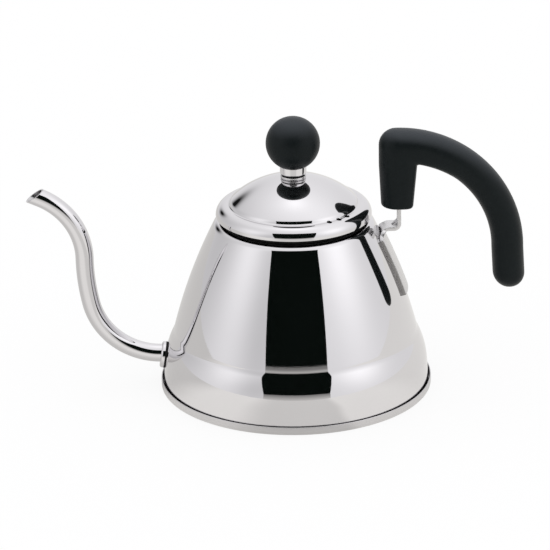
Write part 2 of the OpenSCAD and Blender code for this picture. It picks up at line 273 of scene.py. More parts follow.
# the sockets of a bare metal: its tone runs between two colours, its relief is a faint bump
def metal(graph, facts, tone, roughness, relief):
    return {"Base Color": graph.mix(tone, facts["dark"], facts["light"]), "Metallic": facts["metallic"],
            "Roughness": roughness, "Normal": graph.bump(relief, facts["bump"], facts["depth"])}


# polished sheet: faint polishing clouds and hairlines, nearly a mirror
polished = {"dark": (0.68, 0.669, 0.68, 1), "light": (0.72, 0.709, 0.72, 1), "metallic": 1.0,
            "rough": 0.012, "cloudRough": 0.02, "hairRough": 0.008, "bump": 0.05, "depth": 0.0002,
            "cloudScale": 26, "hairScale": 4, "hairStretch": (60, 60, 900), "hairRelief": 0.15}


def polishedSteel(graph):
    place = graph.place()
    cloud = graph.noise(place, polished["cloudScale"], 4)
    hair = graph.noise(graph.stretched(place, polished["hairStretch"]), polished["hairScale"], 2)
    roughness = polished["rough"] + cloud * polished["cloudRough"] + hair * polished["hairRough"]
    return metal(graph, polished, cloud, roughness, cloud + hair * polished["hairRelief"])


# satin sheet with turning marks that run round the axis
turned = {"dark": (0.56, 0.55, 0.555, 1), "light": (0.66, 0.65, 0.655, 1), "metallic": 1.0, "rough": 0.3,
          "lineRough": 0.1, "cloudRough": 0.05, "bump": 0.12, "depth": 0.0001, "linesPerMetre": 900,
          "cloudScale": 40}


def turnedSteel(graph):
    place = graph.place()
    x, y, z = graph.parts(place)
    radius = (x * x + y * y).math("SQRT")
    rings = {0: radius * turned["linesPerMetre"], 1: z * turned["linesPerMetre"]}
    lines = graph.noise(graph.node("ShaderNodeCombineXYZ", {}, rings), 1, 3, 0.6)
    cloud = graph.noise(place, turned["cloudScale"], 3)
    roughness = turned["rough"] + lines * turned["lineRough"] + cloud * turned["cloudRough"]
    return metal(graph, turned, lines, roughness, lines)


# inside of the kettle: drawn sheet left satin
inside = {"dark": (0.5, 0.495, 0.5, 1), "light": (0.6, 0.59, 0.595, 1), "metallic": 1.0, "rough": 0.22,
          "lineRough": 0.12, "bump": 0.1, "depth": 0.0001, "cloudScale": 30, "lineScale": 2,
          "lineStretch": (20, 20, 700)}


def insideSteel(graph):
    place = graph.place()
    cloud = graph.noise(place, inside["cloudScale"], 4)
    lines = graph.noise(graph.stretched(place, inside["lineStretch"]), inside["lineScale"], 3)
    return metal(graph, inside, cloud, inside["rough"] + lines * inside["lineRough"], lines)


# painted shade: near-black dull steel put where shade falls, in the groove over the base rim, under the lid
# and round the joints
seam = {"dark": (0.006, 0.006, 0.006, 1), "light": (0.016, 0.0155, 0.015, 1), "specular": 0.12,
        "rough": 0.5, "shadeNoiseRough": 0.2, "shadeNoiseScale": 300}


def seamSteel(graph):
    # a fine noise varies the painted shade's tone and roughness
    shadeNoise = graph.noise(graph.place(), seam["shadeNoiseScale"], 4)
    return {"Base Color": graph.mix(shadeNoise, seam["dark"], seam["light"]),
            "Specular IOR Level": seam["specular"], "Roughness": seam["rough"] + shadeNoise * seam["shadeNoiseRough"]}


# strip stock with drawn edges
drawn = {"dark": (0.62, 0.612, 0.615, 1), "light": (0.7, 0.692, 0.695, 1), "metallic": 1.0, "rough": 0.2,
         "streakRough": 0.08, "cloudRough": 0.06, "bump": 0.08, "depth": 0.0001, "streakScale": 1.5,
         "streakStretch": (150, 900, 60), "cloudScale": 60}


def bracketSteel(graph):
    place = graph.place()
    streak = graph.noise(graph.stretched(place, drawn["streakStretch"]), drawn["streakScale"], 3)
    cloud = graph.noise(place, drawn["cloudScale"], 3)
    roughness = drawn["rough"] + streak * drawn["streakRough"] + cloud * drawn["cloudRough"]
    return metal(graph, drawn, streak, roughness, streak)


# the plate's edges as the shears left them
cut = {"dark": (0.24, 0.232, 0.222, 1), "light": (0.42, 0.41, 0.4, 1), "metallic": 0.8, "rough": 0.42,
       "grainRough": 0.15, "bump": 0.15, "depth": 0.0001, "grainScale": 3, "grainStretch": (300, 300, 120)}


def shearedSteel(graph):
    grain = graph.noise(graph.stretched(graph.place(), cut["grainStretch"]), cut["grainScale"], 3)
    return metal(graph, cut, grain, cut["rough"] + grain * cut["grainRough"], grain)


plain = {"dark": (0.5, 0.5, 0.5, 1), "light": (0.62, 0.62, 0.62, 1), "metallic": 1.0, "rough": 0.24,
         "grainRough": 0.14, "bump": 0.1, "depth": 0.00005, "grainScale": 700}


def fastenerSteel(graph):
    grain = graph.noise(graph.place(), plain["grainScale"], 3)
    return metal(graph, plain, grain, plain["rough"] + grain * plain["grainRough"], grain)


brass = {"dark": (0.62, 0.42, 0.17, 1), "light": (0.75, 0.54, 0.25, 1), "metallic": 1.0, "rough": 0.25,
         "grainRough": 0.12, "bump": 0.1, "depth": 0.00005, "grainScale": 1,
         "grainStretch": (200, 200, 1500)}


def turnedBrass(graph):
    grain = graph.noise(graph.stretched(graph.place(), brass["grainStretch"]), brass["grainScale"], 3)
    return metal(graph, brass, grain, brass["rough"] + grain * brass["grainRough"], grain)


# moulded phenolic: near black, a fine mottle, and a painted sheen: a lighter colour on the faces that turn
# upward
moulded = {"dark": (0.0035, 0.006, 0.0065, 1), "light": (0.008, 0.0115, 0.012, 1),
           "sheenColor": (0.055, 0.062, 0.07, 1), "paintedSheen": 0.75, "specular": 0.12, "rough": 0.34,
           "mottleRough": 0.08, "cloudRough": 0.06, "bump": 0.12, "depth": 0.00008, "mottleScale": 420,
           "cloudScale": 45, "sheenFrom": 0.35}


def phenolic(graph):
    place = graph.place()
    mottle = graph.noise(place, moulded["mottleScale"], 4, 0.65)
    cloud = graph.noise(place, moulded["cloudScale"], 3)
    # painted sheen: the upward faces are made lighter, more in some clouds than in others
    upward = graph.parts(graph.node("ShaderNodeNewGeometry", output=1))[2].between(moulded["sheenFrom"], 1.0)
    paintedSheen = upward * (0.7 + cloud * 0.6) * moulded["paintedSheen"]
    tone = graph.mix(mottle, moulded["dark"], moulded["light"])
    return {"Base Color": graph.mix(paintedSheen, tone, moulded["sheenColor"]), "Specular IOR Level": moulded["specular"],
            "Roughness": moulded["rough"] + mottle * moulded["mottleRough"] + cloud * moulded["cloudRough"],
            "Normal": graph.bump(mottle, moulded["bump"], moulded["depth"])}


materials = {"polished": makeMaterial("polishedSteel", polishedSteel),
             "turned": makeMaterial("turnedSteel", turnedSteel),
             "inside": makeMaterial("insideSteel", insideSteel),
             "seam": makeMaterial("seamSteel", seamSteel),
             "bracket": makeMaterial("bracketSteel", bracketSteel),
             "edge": makeMaterial("shearedSteel", shearedSteel),
             "fastener": makeMaterial("fastenerSteel", fastenerSteel),
             "brass": makeMaterial("turnedBrass", turnedBrass),
             "phenolic": makeMaterial("phenolic", phenolic)}
print("materials made")


# gives a piece its materials and its body, and hides the node it stands for
def settle(piece, facts, chooses=None):
    finishes = [facts["finish"]]
    chosen = []
    for face in piece.data.polygons:
        finish = chooses(face.center / mm, face.normal) if chooses else None
        chosen.append(finish or facts["finish"])
        if chosen[-1] not in finishes:
            finishes.append(chosen[-1])
    piece.data.materials.clear()
    for finish in finishes:
        piece.data.materials.append(materials[finish])
    for face, finish in zip(piece.data.polygons, chosen):
        face.material_index = finishes.index(finish)
    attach(piece, facts["body"])
    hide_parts(facts["node"])
    print("made", piece.name, len(piece.data.polygons), "faces")


# the wall's arcs are tangent; an angle is that of the outward normal above the horizontal
wall = {"baseR": 77.5, "rimH": 4.7, "beltTop": 14.4, "beltA": 4.2, "shoulderA": 27.9, "waistA": 12.0,
        "coneA": 14.8, "rimA": 26.6, "beltR": 75.3, "shoulderR": 42.8, "waistR": 11.9, "footR": 32.2,
        "coneR": 316.6, "rimR": 5.3, "lipR": 2.0, "neckR": 37.5, "neckLow": 91.0, "sheet": 0.8,
        "flangeZ": 1.7, "flangeR": 76.7}
shoulderC = Vector((wall["beltR"], wall["beltTop"])) - wall["shoulderR"] * ray(wall["beltA"])
waistC = shoulderC + (wall["shoulderR"] + wall["waistR"]) * ray(wall["shoulderA"])
footC = waistC - (wall["waistR"] + wall["footR"]) * ray(wall["waistA"])
coneC = footC - (wall["coneR"] - wall["footR"]) * ray(wall["coneA"])
rimC = coneC + (wall["coneR"] - wall["rimR"]) * ray(wall["rimA"])
rimTop = rimC[1] + wall["rimR"]
lipC = Vector((wall["neckR"] + wall["lipR"], rimTop - wall["lipR"]))


def beltAt(z):
    return wall["beltR"] + (wall["beltTop"] - z) * tan(radians(wall["beltA"]))


# the wall from the belt up to the top rim, moved inward by a depth
def wallLine(depth):
    return [Vector((beltAt(z) - depth, z)) for z in (6, 7.5, 9, 10.5, 12, 13.3)] + (
        arc(shoulderC, wall["shoulderR"] - depth, wall["beltA"], wall["shoulderA"], 0.8)
        + arc(waistC, wall["waistR"] + depth, 180 + wall["shoulderA"], 180 + wall["waistA"], 1.0)
        + arc(footC, wall["footR"] - depth, wall["waistA"], wall["coneA"], 0.4)
        + arc(coneC, wall["coneR"] - depth, wall["coneA"], wall["rimA"], 0.3)
        + arc(rimC, wall["rimR"] - depth, wall["rimA"], 90, 4))


# the neck that turns down from the rim, moved into the sheet by a depth
def neckLine(depth):
    return arc(lipC, wall["lipR"] - depth, 90, 180, 9) + [Vector((wall["neckR"] + depth, wall["neckLow"]))]


bodyShell = {"node": "body_shell", "body": "kettle", "slot": "polished_steel", "finish": "polished"}
flangeTop = wall["flangeZ"] + wall["sheet"]
outer = [(wall["flangeR"], wall["flangeZ"]), (wall["flangeR"], flangeTop), (beltAt(flangeTop), flangeTop),
         (beltAt(4.6), 4.6)] + wallLine(0)
inner = [(beltAt(wall["flangeZ"]) - wall["sheet"], wall["flangeZ"])] + wallLine(wall["sheet"])

# the spout's axis: three arcs in the plane of the kettle, then a straight end
spout = {"node": "spout_tube", "body": "kettle", "slot": "polished_steel", "finish": "polished",
         "diameter": 10.3, "wall": 0.8, "start": (-72.0, 18.9), "lowR": 40.5, "midR": 126.6, "topR": 40.4,
         "headIn": -7.0, "headLow": 78.0, "headMid": 90.3, "headTip": 24.0, "lip": (-151.0, 112.9),
         "lipSlope": 35.0, "lipRound": 0.22, "holePlay": 0.03, "turns": 72}


def side(heading):
    return Vector((sinD(heading), cosD(heading)))


spoutLow = Vector(spout["start"]) + spout["lowR"] * side(spout["headIn"])
spoutMid = spoutLow + (spout["midR"] - spout["lowR"]) * side(spout["headLow"])
spoutTop = spoutMid - (spout["midR"] + spout["topR"]) * side(spout["headMid"])


# stations along the axis: x, z and the heading above -X
def stations(centre, radius, start, end, step):
    count = ceil(abs(end - start) / step)
    return [(*(centre - radius * side(heading)), heading) for heading in spread(start, end, count)]


def spoutRing(station, radius):
    x, z, heading = station
    angles = [360 * j / spout["turns"] for j in range(spout["turns"])]
    return [Vector((x + radius * cosD(angle) * sinD(heading), radius * sinD(angle),
                    z + radius * cosD(angle) * cosD(heading))) for angle in angles]


spoutPath = (stations(spoutLow, spout["lowR"], spout["headIn"], spout["headLow"], 2.5)
             + stations(spoutMid, spout["midR"], spout["headLow"], spout["headMid"], 1.3)[1:]
             + stations(spoutTop, -spout["topR"], spout["headMid"], spout["headTip"], 2.5)[1:])


# a straight-ended rod along the first bend, for the hole in the wall and in the collar
def rootRod(radius):
    path = stations(spoutLow, spout["lowR"], spout["headIn"] - 6, spout["headIn"] + 14, 2.5)
    return skin("rootRod", [spoutRing(station, radius) for station in path])


tubeR = spout["diameter"] / 2
shell = lathe("bodyShell", outer + inner[::-1], 256)
combine(shell, rootRod(tubeR + spout["holePlay"]))


def offAxis(point):
    return Vector((point.x, point.y)).length


# the skin that faces the axis
def onInside(centre, normal):
    flat = Vector((centre.x, centre.y, 0))
    return "inside" if normal.dot(flat) < 0 and centre.z > 2.4 else None


settle(shell, bodyShell, onInside)

mouthRing = {"node": "mouth_ring", "body": "kettle", "slot": "polished_steel", "finish": "polished"}
settle(lathe("mouthRing", [(rimC[0], rimTop)] + neckLine(0) + neckLine(wall["sheet"])[::-1]
             + [(rimC[0], rimTop - wall["sheet"])], 256), mouthRing)

basePan = {"node": "base_pan", "body": "kettle", "slot": "base_steel", "finish": "turned",
           "grooveR": 70.0, "lift": 0.9, "sheet": 0.8, "hem": 0.6, "floorZ": 3.2, "leaf": 0.15}
baseR, grooveR, hemR = wall["baseR"], basePan["grooveR"], basePan["hem"] / 2
panLine = [(0, 0), (grooveR - 1.3, 0), (grooveR - 1.0, 0.12), (grooveR - 0.2, 0.78),
           (grooveR + 0.2, basePan["lift"]), (baseR - 3.2, basePan["lift"]), (baseR - 2.9, 0.75),
           (baseR - 2.5, 0.1)]
panLine += arc((baseR - 0.8, 0.8), 0.8, -90, 0, 12)
panLine += arc((baseR - hemR, wall["rimH"] - hemR), hemR, 0, 180, 18)
panLine += [(baseR - basePan["hem"], basePan["floorZ"]),
            (beltAt(basePan["floorZ"]) + basePan["leaf"], basePan["floorZ"]),
            (beltAt(flangeTop) + basePan["leaf"], flangeTop), (wall["flangeR"], flangeTop),
            (wall["flangeR"], wall["flangeZ"]), (grooveR - 0.6, wall["flangeZ"]),
            (grooveR - 1.6, basePan["sheet"]), (0, basePan["sheet"])]


# faces of the groove between the hem and the wall, which get the painted shade
def inGroove(centre, normal):
    deep = wall["flangeZ"] < centre.z < wall["rimH"] - 0.35
    return "seam" if deep and offAxis(centre) < baseR - 0.4 else None


settle(lathe("basePan", panLine, 256), basePan, inGroove)

boreR = tubeR - spout["wall"]
lastStation = spoutPath[-1]
tipDir = Vector((-cosD(lastStation[2]), 0, sinD(lastStation[2])))
cutNormal = Vector((-sinD(spout["lipSlope"]), 0, cosD(spout["lipSlope"])))
cutPoint = Vector((spout["lip"][0], 0, spout["lip"][1]))


# how far each line of the straight end runs before it meets the cut
def runs(radius):
    ring = spoutRing(lastStation, radius)
    return [(cutPoint - point).dot(cutNormal) / tipDir.dot(cutNormal) for point in ring]


def tipRing(radius, share):
    ring = spoutRing(lastStation, radius)
    return [point + tipDir * (run * share) for point, run in zip(ring, runs(radius))]


# the lip's edge, rounded from the outer line to the bore
lipOut, lipIn = tipRing(tubeR, 1), tipRing(boreR, 1)
lipRings = []
for turn in spread(0, 180, 6):
    drop = tipDir * spout["lipRound"] * (sinD(turn) - 1)
    ends = zip(lipOut, lipIn)
    lipRings.append([(out + bore) / 2 + (out - bore) / 2 * cosD(turn) + drop for out, bore in ends])
tubeRings = [spoutRing(station, tubeR) for station in spoutPath]
tubeRings += [tipRing(tubeR, 0.5), tipRing(tubeR, 0.9)] + lipRings
tubeRings += [tipRing(boreR, 0.9), tipRing(boreR, 0.5)]
tubeRings += [spoutRing(station, boreR) for station in reversed(spoutPath)]


# the bore faces its own axis
def inBore(centre, normal):
    axis = [Vector((x, 0, z)) for x, z, heading in spoutPath]
    near = min(axis, key=lambda point: (point - centre).length)
    return "inside" if (centre - near).dot(normal) < 0 else None


settle(skin("spoutTube", tubeRings, closed=True, crease=50), spout, inBore)

collar = {"node": "spout_collar", "body": "kettle", "slot": "polished_steel", "finish": "polished",
          "middle": (-74.9, 0, 17.4), "radius": 7.6, "stand": 2.7, "tilt": 8.3, "edge": 1.3,
          "weld": 0.45, "holePlay": 0.02}
collarR, collarEdge = collar["radius"], collar["edge"]
collarOutline = [(0, -2), (collarR, -2), (collarR, collar["weld"])]
collarOutline += arc((collarR - collarEdge, collar["stand"] - collarEdge), collarEdge, 0, 90, 9)
ring = lathe("spoutCollar", collarOutline + [(0, collar["stand"])], 128)
ring.data.transform(Matrix.Translation(Vector(collar["middle"]) * mm)
                    @ Matrix.Rotation(radians(collar["tilt"] - 90), 4, "Y"))
solidWall = lathe("solidWall", [(0, 2), (beltAt(2), 2)] + wallLine(0) + [(0, rimTop)], 256)
combine(ring, solidWall)
combine(ring, rootRod(tubeR + collar["holePlay"]))


# painted shade round the foot of the collar, where it meets the wall
def atJoint(centre, normal):
    axis = Vector((-cosD(collar["tilt"]), 0, sinD(collar["tilt"])))
    out = (centre - Vector(collar["middle"])).dot(axis)
    return "seam" if out < collar["weld"] and abs(normal.x) < 0.7 else None


settle(ring, collar, atJoint)

# bracket: a strip that follows the cone, folds outward and turns up into the grip
bracket = {"node": "handle_bracket", "body": "kettle", "slot": "bracket_steel", "finish": "bracket",
           "thick": 2.1, "stripW": 12.4, "plateW": 27.6, "plateLow": 57.0, "stripZ": 95.5, "foldR": 2.5,
           "turnR": 2.0, "tangX": 58.4, "tangTop": 131.0, "screwZ": 117.5, "screwR": 2.15, "ribR": 2.2,
           "ribL": 3.4, "edge": 0.35}
thick = bracket["thick"]
foldZ = bracket["stripZ"] - thick - bracket["foldR"]
foldA = degrees(asin((foldZ - coneC[1]) / (wall["coneR"] + thick + bracket["foldR"])))
foldC = coneC + (wall["coneR"] + thick + bracket["foldR"]) * ray(foldA)
turnC = Vector((bracket["tangX"] - bracket["turnR"], bracket["stripZ"] + bracket["turnR"]))
# height and half width, from the plate's foot up through the taper
plateHalf, stripHalf = bracket["plateW"] / 2, bracket["stripW"] / 2
halfWidths = [(bracket["plateLow"], plateHalf), (86.0, 12.1), (89.5, 11.8), (91.4, 10.0), (92.7, 7.8),
              (93.8, stripHalf), (140.0, stripHalf)]


def halfWidthAt(z):
    for (lowZ, lowHalf), (highZ, highHalf) in zip(halfWidths, halfWidths[1:]):
        if z <= highZ:
            return lowHalf + (highHalf - lowHalf) * max(0.0, z - lowZ) / (highZ - lowZ)


# the strip's path: wall-side point, far-side point, and how much it bends round the body
plateA = degrees(asin((bracket["plateLow"] - coneC[1]) / wall["coneR"]))
stripPath = [(coneC + wall["coneR"] * ray(a), coneC + (wall["coneR"] + thick) * ray(a), 1.0)
             for a in spread(plateA, foldA, 30)]
stripPath += [(foldC + (bracket["foldR"] + thick) * ray(a), foldC + bracket["foldR"] * ray(a), 1.0)
              for a in spread(180 + foldA, 90, 14)[1:]]
stripPath += [(Vector((x, bracket["stripZ"])), Vector((x, bracket["stripZ"] - thick)), bend)
              for x, bend in ((foldC[0] + 1.3, 0.5), (turnC[0], 0.0))]
stripPath += [(turnC + bracket["turnR"] * ray(a), turnC + (bracket["turnR"] + thick) * ray(a), 0.0)
              for a in spread(270, 360, 12)[1:]]
stripPath += [(Vector((bracket["tangX"], z)), Vector((bracket["tangX"] + thick, z)), 0.0)
              for z in spread(turnC[1], bracket["tangTop"], 8)[1:]]


def bent(point, y, bend):
    x = point[0]
    return Vector((x + bend * (sqrt(x * x - y * y) - x), y, point[1]))


# rounded cross-section: across the wall side, round the edge, back across the far side
def stripRing(near, far, bend):
    half = halfWidthAt((near[1] + far[1]) / 2)
    edge = bracket["edge"]
    across = spread(-(half - edge), half - edge, 16)
    ring = [bent(near, y, bend) for y in across]
    corner = [(half - edge + edge * sinD(a), (edge - edge * cosD(a)) / thick) for a in (30, 60, 90)]
    ring += [bent(near.lerp(far, s), y, bend) for y, s in corner]
    ring += [bent(near.lerp(far, 1 - s), y, bend) for y, s in reversed(corner)]
    ring += [bent(far, y, bend) for y in reversed(across)]
    ring += [bent(near.lerp(far, 1 - s), -y, bend) for y, s in corner]
    ring += [bent(near.lerp(far, s), -y, bend) for y, s in reversed(corner)]
    return ring


strip = skin("handleBracket", [stripRing(*row) for row in stripPath], crease=28)
# the pressed rib that stiffens the upper fold
ribIn = bracket["ribR"] * sinD(45)
ribStart = (bracket["tangX"] - bracket["ribL"] + ribIn - 2, 0, bracket["stripZ"] - ribIn - 2)
rib = rod("rib", ribStart, (1, 0, 1), bracket["ribR"], 9)
keep = block("keep", (bracket["tangX"] - 5, -4, bracket["stripZ"] - 0.8),
             (bracket["tangX"] + 0.8, 4, bracket["stripZ"] + 5.2))
combine(rib, keep, "INTERSECT", 28)
combine(strip, rib, "UNION", 28)
screwHole = rod("screwHole", (bracket["tangX"] - 1, 0, bracket["screwZ"]), (1, 0, 0), bracket["screwR"], 5)
combine(strip, screwHole, crease=28)


# the sheared edges of the plate, left as they were cut
def sheared(centre, normal):
    return "edge" if abs(normal.y) > 0.9 and centre.z < bracket["stripZ"] - 2.4 else None


settle(strip, bracket, sheared)

# grip: a leg, a bend round the crook, an arch and a round free end
grip = {"node": "grip", "body": "kettle", "slot": "black_phenolic", "finish": "phenolic",
        "archC": (58.7, 81.0), "archR": 62.3, "width": 18.1, "depth": 21.6, "legLow": 107.3, "endZ": 65.8,
        "lean": 0.8, "archA": 76.4, "crookR": 1.2, "cornerR": 9.5, "legX": 48.2, "legIn": 67.5,
        "legOut": 49.4, "legRound": 1.2, "legTaper": 1.6, "insertX": 51.5, "insertR": 3.2, "headX": 65.6,
        "headR": 4.2, "slotPlay": 0.05, "soft": 2.1, "square": 4, "turns": 80}
archC = Vector(grip["archC"])
innerR = grip["archR"] - grip["width"] / 2
outerR = grip["archR"] + grip["width"] / 2
crook = archC + (innerR - grip["crookR"]) * ray(grip["archA"])
cornerC = Vector((grip["legX"] + grip["cornerR"], archC[1] + outerR - grip["cornerR"]))


def bulge(value, exponent):
    return (1 if value > 0 else -1) * abs(value) ** (2 / exponent) if abs(value) > 1e-9 else 0.0


# a superellipse across the path from an inner point to an outer one, squarer on the finger side
def gripRing(near, far, depth, square=grip["soft"]):
    ring = []
    for j in range(grip["turns"]):
        turn = 360 * j / grip["turns"]
        exponent = square if cosD(turn) < 0 else grip["soft"]
        point = (near + far) / 2 + (far - near) / 2 * bulge(cosD(turn), exponent)
        ring.append(Vector((point[0], depth / 2 * bulge(sinD(turn), exponent), point[1])))
    return ring


# how far it is from a point, at an angle, to the far side of a circle
def reach(point, angle, centre, radius):
    offset = point - centre
    along = offset.dot(ray(angle))
    return sqrt(max(0.0, along * along - offset.dot(offset) + radius * radius)) - along


# how far it is from the crook to the outside of the bend: the leg's flat, the corner or the arch
def cornerReach(angle):
    flat = (crook[0] - grip["legX"]) / max(0.01, -cosD(angle))
    if angle > 90 and crook[1] + flat * sinD(angle) < cornerC[1]:
        return flat
    corner = reach(crook, angle, cornerC, grip["cornerR"])
    if corner > 0 and crook[0] + corner * cosD(angle) < cornerC[0]:
        return corner
    return reach(crook, angle, archC, outerR)


# the leg, from its low end at 0 to the crook at 1
def legRing(share, inset=0.0):
    z = grip["legLow"] + share * (crook[1] - grip["legLow"])
    inX = grip["legIn"] + share * (crook[0] - grip["crookR"] - grip["legIn"]) - inset / 2
    outX = grip["legOut"] + share * (grip["legX"] - grip["legOut"]) + inset
    depth = grip["depth"] - grip["legTaper"] * (1 - share) - 2 * inset
    return gripRing(Vector((inX, z)), Vector((outX, z)), depth, grip["square"])


def legFoot(angle):
    return legRing(grip["legRound"] * (1 - cosD(angle)) / legHeight, grip["legRound"] * (1 - sinD(angle)))


def crookRing(angle):
    far = crook + cornerReach(angle) * ray(angle)
    return gripRing(crook + grip["crookR"] * ray(angle), far, grip["depth"], grip["square"])


# the arch turns from the leg's squarer section to a soft one
def archRing(angle):
    square = max(grip["soft"], grip["square"] - 6 * (1 - angle / grip["archA"]))
    return gripRing(archC + innerR * ray(angle), archC + outerR * ray(angle), grip["depth"], square)


def tailRing(z, size):
    lean = grip["lean"] * (archC[1] - z) / (archC[1] - grip["endZ"])
    middle = Vector((archC[0] + grip["archR"] + lean, z))
    step = Vector((grip["width"] / 2 * size, 0))
    return gripRing(middle - step, middle + step, grip["depth"] * size)


legHeight = crook[1] - grip["legLow"]
gripRings = [legFoot(angle) for angle in (0, 18, 36, 54, 72, 90)]
gripRings += [legRing(share) for share in (0.1, 0.2, 0.3, 0.42, 0.54, 0.66, 0.78, 0.9, 0.97)]
gripRings += [crookRing(angle) for angle in spread(178, grip["archA"] + 2.5, 40)]
gripRings += [archRing(angle) for angle in spread(grip["archA"], 0, 40)]
gripRings += [tailRing(z, 1) for z in spread(archC[1], grip["endZ"], 6)[1:]]
endR = grip["width"] / 2
gripRings += [tailRing(grip["endZ"] - endR * sinD(angle), cosD(angle)) for angle in range(6, 90, 6)]
gripRings += [tailRing(grip["endZ"] - endR, 0.03)]
handle = skin("grip", gripRings, crease=40)
play = grip["slotPlay"]
slotHalf = stripHalf + play
combine(handle, block("slot", (bracket["tangX"] - play, -slotHalf, grip["legLow"] - 1),
                      (bracket["tangX"] + thick + play, slotHalf, bracket["tangTop"] + 1.5)), crease=40)
# bores for the insert, the screw and its head
for start, radius, length in ((grip["insertX"], grip["insertR"], bracket["tangX"] - grip["insertX"]),
                              (bracket["tangX"], bracket["screwR"], 15),
                              (grip["headX"] - 1, grip["headR"], 12)):
    combine(handle, rod("bore", (start, 0, bracket["screwZ"]), (1, 0, 0), radius, length), crease=40)
settle(handle, grip)

# lid: a dome, a foot, a shallow groove and a rounded edge, all tangent
lid = {"node": "lid_shell", "body": "lid", "slot": "polished_steel", "finish": "polished",
       "radius": 44.2, "edgeZ": 103.1, "edgeR": 6.3, "domeTop": 125.1, "domeR": 53.4, "sheet": 0.7,
       "hollowR": 1.2, "footR": 4.5, "crownA": 94.0, "seatR": 8.2, "steamD": 3.0, "steamR": 37.8,
       "steamAt": (-58.8, -48.6, -38.6), "screwR": 2.2, "satinR": 38.0, "paintedShadeR": 41.2}
domeC = Vector((0, lid["domeTop"] - lid["domeR"]))
crownC = Vector((lid["radius"] - lid["edgeR"], lid["edgeZ"]))
hollowC = crownC + (lid["hollowR"] + lid["edgeR"]) * ray(lid["crownA"])
# the foot's centre lies where its arc touches both the dome and the groove
toHollow = hollowC - domeC
footFar = lid["domeR"] - lid["footR"]
footGap = lid["footR"] + lid["hollowR"]
opening = (toHollow.length_squared + footFar ** 2 - footGap ** 2) / (2 * toHollow.length * footFar)
domeA = degrees(atan2(toHollow[1], toHollow[0]) + acos(opening))
lidFoot = domeC + footFar * ray(domeA)
grooveA = degrees(atan2(hollowC[1] - lidFoot[1], hollowC[0] - lidFoot[0]))
seatA = degrees(acos(lid["seatR"] / lid["domeR"]))
seatZ = domeC[1] + lid["domeR"] * sinD(seatA)


# the sheet's line, moved inward by a depth
def lidLine(depth):
    return ([Vector((lid["screwR"], seatZ - depth))] + arc(domeC, lid["domeR"] - depth, seatA, domeA, 1.2)
            + arc(lidFoot, lid["footR"] - depth, domeA, grooveA, 3)
            + arc(hollowC, lid["hollowR"] + depth, 180 + grooveA, 180 + lid["crownA"], 7)
            + arc(crownC, lid["edgeR"] - depth, lid["crownA"], -4, 3))


cover = lathe("lidShell", lidLine(0) + lidLine(lid["sheet"])[::-1], 256)
for angle in lid["steamAt"]:
    place = (lid["steamR"] * cosD(angle), lid["steamR"] * sinD(angle), lid["edgeZ"])
    combine(cover, rod("hole", place, (0, 0, 1), lid["steamD"] / 2, 10, 40))


# the underside is satin; its outer ring over the collar's step gets the painted shade
def underLid(centre, normal):
    out = offAxis(centre)
    middle, outer = (domeC, lid["domeR"]) if out < lidFoot[0] else (crownC, lid["edgeR"])
    if normal.z >= 0 or (Vector((out, centre.z)) - middle).length >= outer - lid["sheet"] / 2:
        return None
    return "inside" if out < lid["satinR"] else "seam" if out < lid["paintedShadeR"] else None


settle(cover, lid, underLid)

lidCollar = {"node": "lid_collar", "body": "lid", "slot": "polished_steel", "finish": "inside",
             "play": 0.6, "wallR": 40.3}
skirtR = wall["neckR"] - lidCollar["play"]
skirtLow = wall["neckLow"] - 1
stepR = lidCollar["wallR"]
collarT = lid["sheet"]
# the step's wall ends where it meets the inside of the lid's edge
weldZ = lid["edgeZ"] + sqrt((lid["edgeR"] - lid["sheet"]) ** 2 - (stepR - lid["radius"] + lid["edgeR"]) ** 2)
collarLine = [(skirtR, skirtLow + 0.3), (skirtR, rimTop), (stepR - 0.3, rimTop), (stepR, rimTop + 0.3),
              (stepR, weldZ), (stepR - collarT, weldZ), (stepR - collarT, rimTop + collarT),
              (skirtR - collarT, rimTop + collarT), (skirtR - collarT, skirtLow + 0.3),
              (skirtR - collarT / 2, skirtLow)]


# painted shade in the shut space round the step
def overStep(centre, normal):
    return "seam" if centre.z > rimTop - 0.2 and offAxis(centre) > skirtR + 0.2 else None


settle(lathe("lidCollar", collarLine, 256), lidCollar, overStep)

# knob: ball, ferrule and spacer
knob = {"node": "knob_ball", "body": "lid", "slot": "black_phenolic", "finish": "phenolic",
        "diameter": 30.6, "centre": 145.0, "low": 131.7, "insertR": 4.0, "insertTop": 146.0}
ballR = knob["diameter"] / 2
ballLowA = degrees(asin((knob["low"] - knob["centre"]) / ballR))
ballLine = [(0, knob["insertTop"]), (knob["insertR"], knob["insertTop"]), (knob["insertR"], knob["low"])]
ballLine += arc((0, knob["centre"]), ballR, ballLowA, 90, 3)[:-1] + [(0, knob["centre"] + ballR)]
settle(lathe("knobBall", ballLine, 128), knob)

ferrule = {"node": "knob_ferrule", "body": "lid", "slot": "polished_steel", "finish": "polished",
           "radius": 7.5, "fullZ": 127.4, "edge": 0.5, "topEdge": 0.15, "neck": 6.3}
spacer = {"node": "knob_spacer", "body": "lid", "slot": "polished_steel", "finish": "bracket",
          "radius": 7.3, "top": 126.3, "edge": 1.0, "topEdge": 0.2}


# painted shade in the groove between the ferrule and the spacer
def inNeck(centre, normal):
    return "seam" if centre.z < ferrule["fullZ"] + 0.05 else None


# a round piece on the knob's screw, from its outline's lower points to its top
def onScrew(facts, low, lowZ, topZ):
    radius, edge, topEdge = facts["radius"], facts["edge"], facts["topEdge"]
    return ([(lid["screwR"], lowZ)] + low
            + arc((radius - edge, (low[-1][1] if low else lowZ) + edge), edge, -90, 0, 15)
            + arc((radius - topEdge, topZ - topEdge), topEdge, 0, 90, 30) + [(lid["screwR"], topZ)])


ferruleLow = [(ferrule["neck"], spacer["top"]), (ferrule["neck"], ferrule["fullZ"])]
settle(lathe("knobFerrule", onScrew(ferrule, ferruleLow, spacer["top"], knob["low"]), 128), ferrule, inNeck)
settle(lathe("knobSpacer", onScrew(spacer, [], seatZ, spacer["top"]), 128), spacer)

